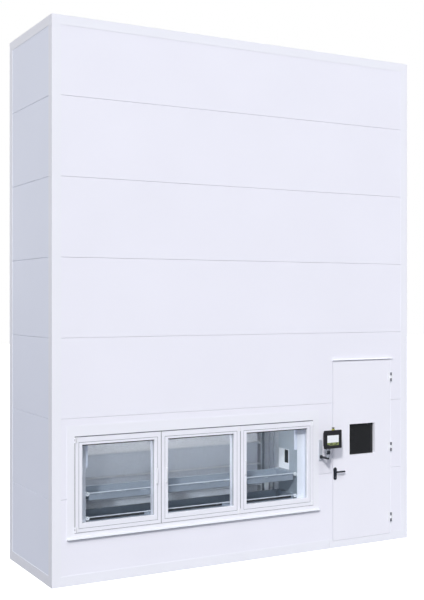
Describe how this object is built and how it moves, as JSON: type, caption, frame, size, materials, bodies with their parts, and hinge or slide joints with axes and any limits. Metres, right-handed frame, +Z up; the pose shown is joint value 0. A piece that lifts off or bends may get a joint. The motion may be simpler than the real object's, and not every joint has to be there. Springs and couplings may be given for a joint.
{
  "type": "vertical lift module",
  "caption": "Tall clad vertical lift storage module with stacked trays, a lift carriage, a glazed picking bay, an operator console and a service door.",
  "frame": {"origin": "middle of the floor area, at the height of the anchor plates' undersides", "axes": "+X to the right seen from the front, +Y from the front to the back, +Z up; the windows and the door face -Y"},
  "size_m": [5.02, 1.718, 6.36],
  "materials": {
    "cladding": "satin powder coat",
    "side_cladding": "satin powder coat",
    "trim": "satin powder coat",
    "door_paint": "satin powder coat",
    "lining_white": "satin powder coat",
    "frame_grey": "matt",
    "base_steel": "matt",
    "zinc": "zinc plated",
    "tray_zinc": "zinc plated sheet",
    "profile_white": "smooth",
    "glazing": "clear",
    "dark_glass": "tinted",
    "seal_rubber": "matt",
    "hinge_steel": "satin",
    "white_hardware": "gloss",
    "black_metal": "satin",
    "bolt_steel": "ground",
    "bracket_grey": "satin",
    "console_black": "fine texture",
    "screen_glass": "gloss",
    "collar_yellow": "gloss",
    "button_dark": "gloss",
    "sensor_grey": "anodised",
    "machine_blue_grey": "satin",
    "shaft_steel": "ground",
    "pulley_metal": "turned",
    "belt_black": "matt",
    "slide_plastic": "smooth",
    "carriage_paint": "satin",
    "gland_plastic": "smooth",
    "cabinet_grey": "textured"
  },
  "bodies": {
    "machine": {"base_frame": "base_steel", "anchor_plates": "zinc", "frame_posts": "frame_grey", "ring_beams": "frame_grey", "rack_sides": "zinc", "guide_rails": "shaft_steel", "front_panels": "cladding", "left_panels": "side_cladding", "right_panels": "side_cladding", "rear_panels": "side_cladding", "roof_panels": "side_cladding", "edge_trims": "trim", "base_trims": "trim", "bay_surround": "trim", "window_frame": "profile_white", "bay_lining": "lining_white", "light_curtains": "sensor_grey", "bay_sensor_plate": "lining_white", "door_frame": "trim", "door_hinge_posts": "hinge_steel", "partition_panel": "lining_white", "cabinet_box": "cabinet_grey", "gearmotor": "machine_blue_grey", "shaft_bearings": "machine_blue_grey", "lift_belts": "belt_black", "console_bracket": "bracket_grey", "console_arm": "black_metal", "stored_trays_front": "tray_zinc", "stored_trays_rear": "tray_zinc", "sash_hinge_leaves": "hinge_steel", "cable_gland": "gland_plastic"},
    "service_door": {"door_leaf": "door_paint", "door_pane": "dark_glass", "door_seal": "seal_rubber", "door_hinge_leaves": "hinge_steel", "door_back_plates": "black_metal"},
    "lever": {"door_lever": "black_metal"},
    "bolt": {"locking_bolt": "bolt_steel"},
    "sash_1": {"sash_1_frame": "profile_white", "sash_1_glass": "glazing", "sash_1_hardware": "white_hardware"},
    "sash_2": {"sash_2_frame": "profile_white", "sash_2_glass": "glazing", "sash_2_hardware": "white_hardware"},
    "sash_3": {"sash_3_frame": "profile_white", "sash_3_glass": "glazing", "sash_3_hardware": "white_hardware"},
    "swivel": {"console_swivel": "console_black"},
    "console_head": {"console_housing": "console_black", "console_screen": "screen_glass", "stop_collar": "collar_yellow"},
    "button": {"stop_button": "button_dark"},
    "carriage": {"carriage_frame": "carriage_paint", "guide_shoes": "slide_plastic"},
    "puller": {"tray_puller": "zinc"},
    "shaft": {"drive_shaft": "shaft_steel"},
    "idlers": {"idler_pulleys": "pulley_metal"},
    "upper_tray": {"bay_tray_upper": "tray_zinc"},
    "lower_tray": {"bay_tray_lower": "tray_zinc"},
    "control_cabinet_door": {"cabinet_door": "cabinet_grey"}
  },
  "joints": [
    {"name": "service_door_swing", "type": "hinge", "parent": "machine", "child": "service_door", "pos_m": [2.2275, -0.76, 1.25], "axis": [0, 0, 1], "range_deg": [0, 100]},
    {"name": "door_lever_turn", "type": "hinge", "parent": "service_door", "child": "lever", "pos_m": [1.322, -0.72, 0.985], "axis": [0, -1, 0], "range_deg": [0, 45]},
    {"name": "door_bolt_slide", "type": "slide", "parent": "service_door", "child": "bolt", "axis": [-1, 0, 0], "range_m": [0, 0.012]},
    {"name": "sash_1_swing", "type": "hinge", "parent": "machine", "child": "sash_1", "pos_m": [-2.2345, -0.768, 1.134], "axis": [0, 0, -1], "range_deg": [0, 90]},
    {"name": "sash_2_swing", "type": "hinge", "parent": "machine", "child": "sash_2", "pos_m": [-0.10417, -0.768, 1.134], "axis": [0, 0, 1], "range_deg": [0, 90]},
    {"name": "sash_3_swing", "type": "hinge", "parent": "machine", "child": "sash_3", "pos_m": [0.9685, -0.768, 1.134], "axis": [0, 0, 1], "range_deg": [0, 90]},
    {"name": "console_swivel_turn", "type": "hinge", "parent": "machine", "child": "swivel", "pos_m": [1.09, -0.92, 1.23], "axis": [0, 0, 1], "range_deg": [-60, 10]},
    {"name": "console_tilt", "type": "hinge", "parent": "swivel", "child": "console_head", "pos_m": [1.09, -0.92, 1.272], "axis": [1, 0, 0], "range_deg": [-15, 10]},
    {"name": "stop_button_press", "type": "slide", "parent": "console_head", "child": "button", "axis": [0, 0, -1], "range_m": [0, 0.005], "stiffness_N_per_m": 800, "springref_m": -0.001},
    {"name": "lift_travel", "type": "slide", "parent": "machine", "child": "carriage", "axis": [0, 0, 1], "range_m": [0, 5.47]},
    {"name": "tray_puller_slide", "type": "slide", "parent": "carriage", "child": "puller", "axis": [0, 1, 0], "range_m": [-0.168, 0.168]},
    {"name": "drive_shaft_turn", "type": "hinge", "parent": "machine", "child": "shaft", "pos_m": [-0.633, 0, 6.18], "axis": [1, 0, 0], "continuous": true},
    {"name": "idler_pulleys_turn", "type": "hinge", "parent": "machine", "child": "idlers", "pos_m": [-0.633, 0, 0.135], "axis": [1, 0, 0], "continuous": true},
    {"name": "upper_tray_slide", "type": "slide", "parent": "machine", "child": "upper_tray", "axis": [0, 1, 0], "range_m": [0, 0.433]},
    {"name": "lower_tray_slide", "type": "slide", "parent": "machine", "child": "lower_tray", "axis": [0, 1, 0], "range_m": [0, 0.433]},
    {"name": "cabinet_door_swing", "type": "hinge", "parent": "machine", "child": "control_cabinet_door", "pos_m": [1.425, 0.484, 1.7], "axis": [0, 0, 1], "range_deg": [0, 100]}
  ],
  "couplings": [
    {"joint": "door_bolt_slide", "follows": "door_lever_turn", "m_per_rad": 0.0152},
    {"joint": "drive_shaft_turn", "follows": "lift_travel", "rad_per_m": -19.881},
    {"joint": "idler_pulleys_turn", "follows": "lift_travel", "rad_per_m": -19.881}
  ]
}
